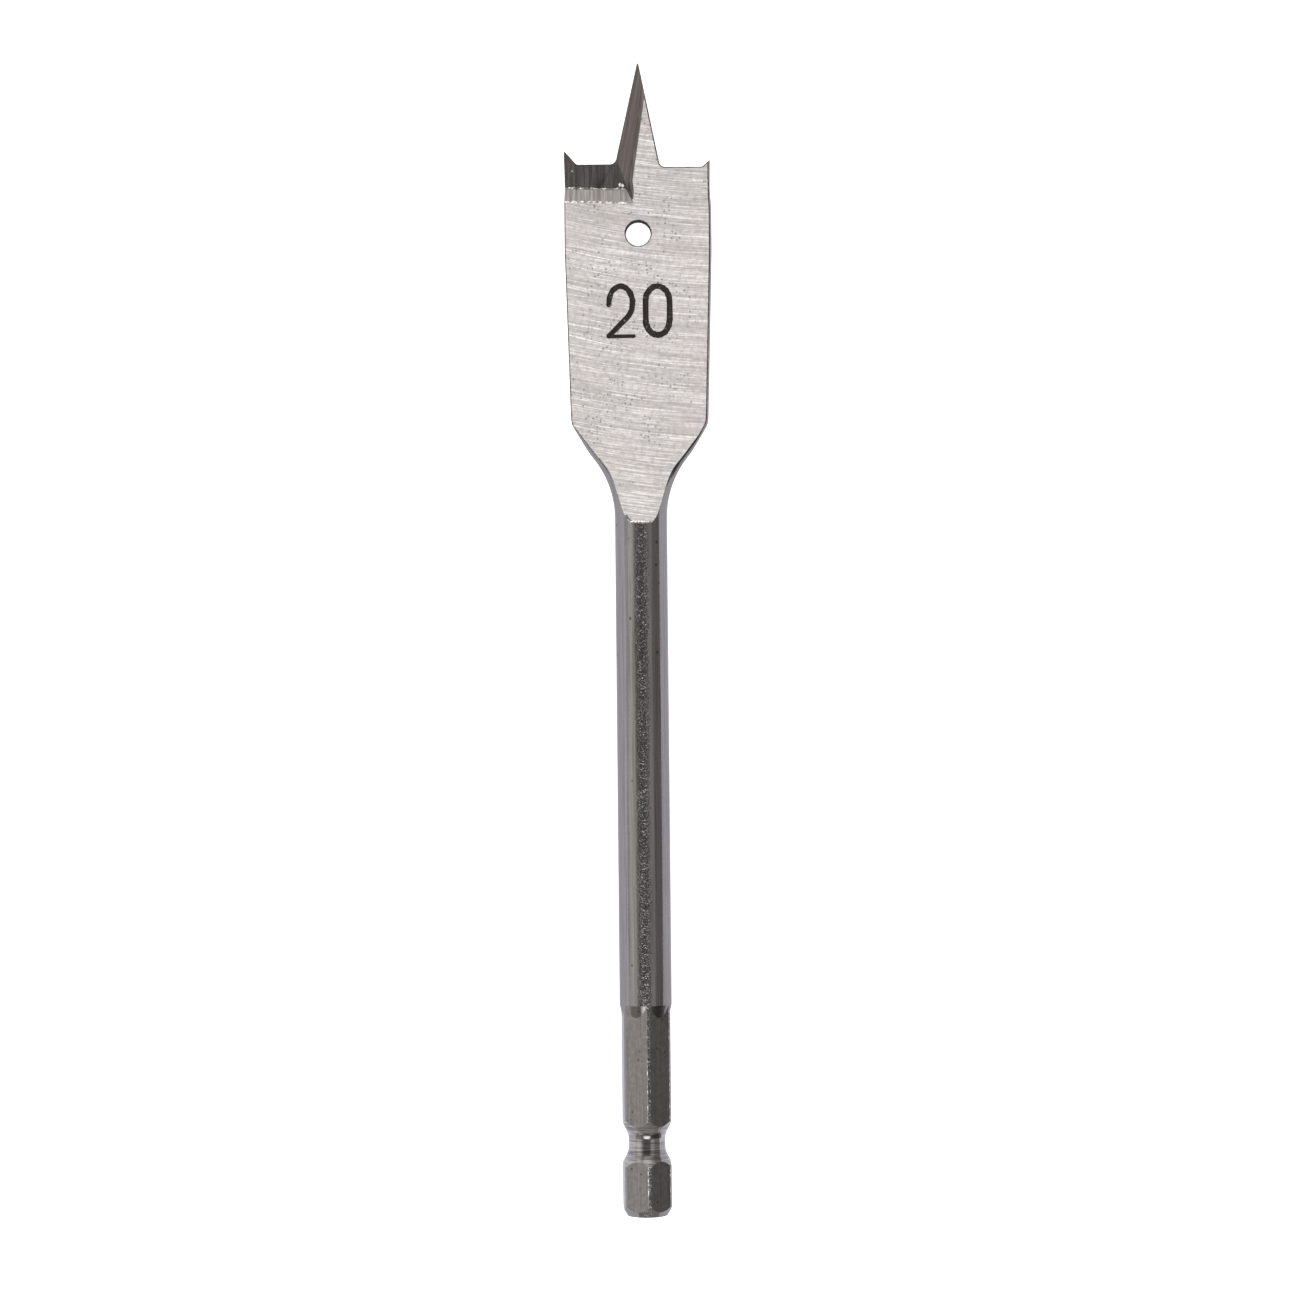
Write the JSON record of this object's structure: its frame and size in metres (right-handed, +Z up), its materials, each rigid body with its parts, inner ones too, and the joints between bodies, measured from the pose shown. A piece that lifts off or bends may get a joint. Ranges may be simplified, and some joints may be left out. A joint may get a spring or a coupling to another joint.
{
  "type": "spade drill bit",
  "caption": "Flat wood bit with a hex shank, detent groove, round shaft, ground blade with a hanging hole, lips, spurs and a centre spike, for boring wide holes in wood.",
  "frame": {"origin": "centre of the shank's flat end face, on the bit's axis", "axes": "+Y along the bit's axis, from the shank to the spike; +Z up. The bit lies as it comes to rest, on its round shaft and on the left edge of its blade, so the blade's front face leans 13.6 degrees from +Z towards -X. The floor is at z = -3.55 mm"},
  "size_m": [0.02, 0.1563, 0.0072],
  "materials": {
    "steel": "bare tool steel: ground bright on the blade's faces, dark and smooth on the shaft and shank"
  },
  "bodies": {
    "root": {"spade_bit": "steel"}
  },
  "joints": []
}
